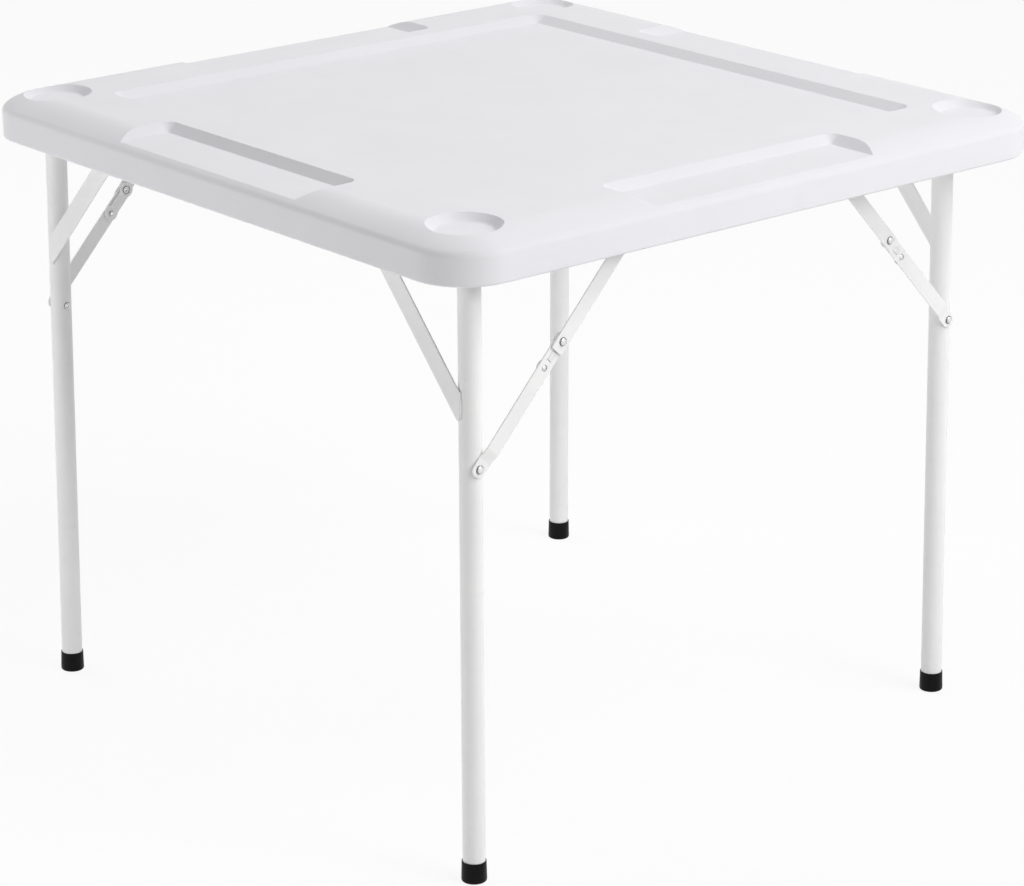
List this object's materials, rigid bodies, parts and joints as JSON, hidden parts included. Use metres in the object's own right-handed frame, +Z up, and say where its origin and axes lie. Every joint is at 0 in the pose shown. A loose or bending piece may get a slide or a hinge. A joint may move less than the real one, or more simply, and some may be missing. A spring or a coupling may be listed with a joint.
{
  "type": "folding card table",
  "caption": "Square folding card table with a moulded top that has a sunk playing field, side trays and cup rests, on steel leg frames that fold under it on locking braces.",
  "frame": {"origin": "on the floor under the middle of the top", "axes": "+Z up; -Y is the side of the front leg frame, +X the right side; both frames fold about lines along X"},
  "size_m": [0.88, 0.88, 0.735],
  "materials": {
    "top_plastic": "matt white moulded plastic with a fine grain",
    "frame_paint": "smooth white powder coat",
    "lock_steel": "thin white powder coat on spring steel",
    "bare_steel": "zinc-plated steel",
    "plug_plastic": "black moulded nylon",
    "foot_rubber": "black rubber, slightly shiny"
  },
  "bodies": {
    "tabletop": {"tabletop": "top_plastic", "bracket_screws": "bare_steel", "bracket_rivets": "bare_steel", "front_left_bracket": "frame_paint", "front_right_bracket": "frame_paint", "rear_left_bracket": "frame_paint", "rear_right_bracket": "frame_paint"},
    "front_frame": {"front_hinge_tube": "frame_paint", "front_hinge_plugs": "plug_plastic", "front_leg_rivets": "bare_steel", "front_left_leg": "frame_paint", "front_left_foot": "foot_rubber", "front_left_strap": "frame_paint", "front_right_leg": "frame_paint", "front_right_foot": "foot_rubber", "front_right_strap": "frame_paint"},
    "front_left_lower_link": {"front_left_lower_link": "frame_paint", "front_left_lock_rivet": "bare_steel", "front_left_rivet_tail": "bare_steel"},
    "front_left_upper_link": {"front_left_upper_link": "frame_paint", "front_left_rivet_head": "bare_steel"},
    "front_left_lock": {"front_left_lock_spring": "lock_steel"},
    "front_right_lower_link": {"front_right_lower_link": "frame_paint", "front_right_lock_rivet": "bare_steel", "front_right_rivet_tail": "bare_steel"},
    "front_right_upper_link": {"front_right_upper_link": "frame_paint", "front_right_rivet_head": "bare_steel"},
    "front_right_lock": {"front_right_lock_spring": "lock_steel"},
    "rear_frame": {"rear_hinge_tube": "frame_paint", "rear_hinge_plugs": "plug_plastic", "rear_leg_rivets": "bare_steel", "rear_left_leg": "frame_paint", "rear_left_foot": "foot_rubber", "rear_left_strap": "frame_paint", "rear_right_leg": "frame_paint", "rear_right_foot": "foot_rubber", "rear_right_strap": "frame_paint"},
    "rear_left_lower_link": {"rear_left_lower_link": "frame_paint", "rear_left_lock_rivet": "bare_steel", "rear_left_rivet_tail": "bare_steel"},
    "rear_left_upper_link": {"rear_left_upper_link": "frame_paint", "rear_left_rivet_head": "bare_steel"},
    "rear_left_lock": {"rear_left_lock_spring": "lock_steel"},
    "rear_right_lower_link": {"rear_right_lower_link": "frame_paint", "rear_right_lock_rivet": "bare_steel", "rear_right_rivet_tail": "bare_steel"},
    "rear_right_upper_link": {"rear_right_upper_link": "frame_paint", "rear_right_rivet_head": "bare_steel"},
    "rear_right_lock": {"rear_right_lock_spring": "lock_steel"}
  },
  "joints": [
    {"name": "front_fold", "type": "hinge", "parent": "tabletop", "child": "front_frame", "pos_m": [0, -0.3753, 0.697], "axis": [1, 0, 0], "range_deg": [0, 90.47]},
    {"name": "front_left_lower_fold", "type": "hinge", "parent": "front_frame", "child": "front_left_lower_link", "pos_m": [-0.39809, -0.37713, 0.47351], "axis": [1, 0, 0], "range_deg": [0, 42.31]},
    {"name": "front_left_upper_fold", "type": "hinge", "parent": "tabletop", "child": "front_left_upper_link", "pos_m": [-0.40349, -0.1703, 0.697], "axis": [1, 0, 0], "range_deg": [-47.22, 0]},
    {"name": "front_left_lock_release", "type": "hinge", "parent": "front_left_lower_link", "child": "front_left_lock", "pos_m": [-0.40079, -0.29766, 0.55938], "axis": [0, 0.7339, -0.6792], "range_deg": [0, 2], "stiffness_Nm_per_rad": 0.5, "springref_deg": -2.86},
    {"name": "front_right_lower_fold", "type": "hinge", "parent": "front_frame", "child": "front_right_lower_link", "pos_m": [0.39809, -0.37713, 0.47351], "axis": [1, 0, 0], "range_deg": [0, 42.31]},
    {"name": "front_right_upper_fold", "type": "hinge", "parent": "tabletop", "child": "front_right_upper_link", "pos_m": [0.40349, -0.1703, 0.697], "axis": [1, 0, 0], "range_deg": [-47.22, 0]},
    {"name": "front_right_lock_release", "type": "hinge", "parent": "front_right_lower_link", "child": "front_right_lock", "pos_m": [0.40079, -0.29766, 0.55938], "axis": [0, -0.7339, 0.6792], "range_deg": [0, 2], "stiffness_Nm_per_rad": 0.5, "springref_deg": -2.86},
    {"name": "rear_fold", "type": "hinge", "parent": "tabletop", "child": "rear_frame", "pos_m": [0, 0.3753, 0.698], "axis": [-1, 0, 0], "range_deg": [0, 90.47]},
    {"name": "rear_left_lower_fold", "type": "hinge", "parent": "rear_frame", "child": "rear_left_lower_link", "pos_m": [-0.35459, 0.37712, 0.47451], "axis": [-1, 0, 0], "range_deg": [0, 42.31]},
    {"name": "rear_left_upper_fold", "type": "hinge", "parent": "tabletop", "child": "rear_left_upper_link", "pos_m": [-0.35999, 0.1703, 0.698], "axis": [-1, 0, 0], "range_deg": [-47.22, 0]},
    {"name": "rear_left_lock_release", "type": "hinge", "parent": "rear_left_lower_link", "child": "rear_left_lock", "pos_m": [-0.35729, 0.29766, 0.56038], "axis": [0, 0.7339, 0.6792], "range_deg": [0, 2], "stiffness_Nm_per_rad": 0.5, "springref_deg": -2.86},
    {"name": "rear_right_lower_fold", "type": "hinge", "parent": "rear_frame", "child": "rear_right_lower_link", "pos_m": [0.35459, 0.37712, 0.47451], "axis": [-1, 0, 0], "range_deg": [0, 42.31]},
    {"name": "rear_right_upper_fold", "type": "hinge", "parent": "tabletop", "child": "rear_right_upper_link", "pos_m": [0.35999, 0.1703, 0.698], "axis": [-1, 0, 0], "range_deg": [-47.22, 0]},
    {"name": "rear_right_lock_release", "type": "hinge", "parent": "rear_right_lower_link", "child": "rear_right_lock", "pos_m": [0.35729, 0.29766, 0.56038], "axis": [0, -0.7339, -0.6792], "range_deg": [0, 2], "stiffness_Nm_per_rad": 0.5, "springref_deg": -2.86}
  ],
  "couplings": [
    {"joint": "front_left_lower_fold", "follows": "front_fold", "ratio": 0.46772},
    {"joint": "front_left_upper_fold", "follows": "front_fold", "ratio": -0.52192},
    {"joint": "front_right_lower_fold", "follows": "front_fold", "ratio": 0.46772},
    {"joint": "front_right_upper_fold", "follows": "front_fold", "ratio": -0.52192},
    {"joint": "rear_left_lower_fold", "follows": "rear_fold", "ratio": 0.46772},
    {"joint": "rear_left_upper_fold", "follows": "rear_fold", "ratio": -0.52193},
    {"joint": "rear_right_lower_fold", "follows": "rear_fold", "ratio": 0.46772},
    {"joint": "rear_right_upper_fold", "follows": "rear_fold", "ratio": -0.52193}
  ]
}
